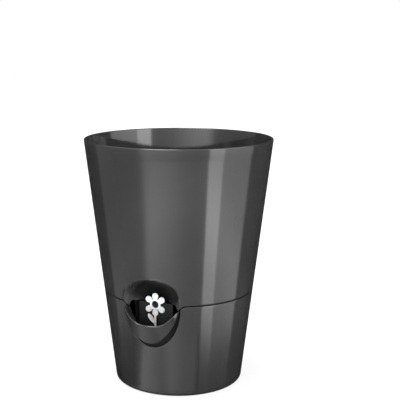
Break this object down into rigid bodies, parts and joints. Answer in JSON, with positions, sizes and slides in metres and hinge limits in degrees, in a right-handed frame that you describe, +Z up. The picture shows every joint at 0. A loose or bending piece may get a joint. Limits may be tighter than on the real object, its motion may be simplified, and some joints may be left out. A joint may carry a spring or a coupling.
{
  "type": "self-watering pot",
  "caption": "Tapered two-part plastic pot with a water reservoir, a filling pocket, a daisy float gauge, and a wick tray inside.",
  "frame": {"origin": "centre of the foot ring, on the surface that the pot stands on", "axes": "+Z up along the pot's axis; -Y towards the filling pocket and the niche"},
  "size_m": [0.13, 0.13, 0.17],
  "materials": {
    "shell": "polished moulded anthracite",
    "guide": "fine textured black",
    "tray": "satin moulded grey",
    "foam": "closed-cell foam",
    "flower": "white moulded",
    "felt": "needled grey felt"
  },
  "bodies": {
    "reservoir": {"reservoir_shell": "shell", "float_guide": "guide"},
    "planter": {"planter_shell": "shell"},
    "insert": {"plant_stand": "tray", "wick_mat": "felt", "wick_left": "felt", "wick_right": "felt"},
    "float": {"float_block": "foam", "float_clip": "tray", "level_flower": "flower"}
  },
  "joints": [
    {"name": "planter_lift", "type": "slide", "parent": "reservoir", "child": "planter", "axis": [0, 0, 1], "range_m": [0, 0.08]},
    {"name": "insert_lift", "type": "slide", "parent": "planter", "child": "insert", "axis": [0, 0, 1], "range_m": [0, 0.17]},
    {"name": "float_rise", "type": "slide", "parent": "reservoir", "child": "float", "axis": [0, 0, 1], "range_m": [-0.02, 0]}
  ]
}
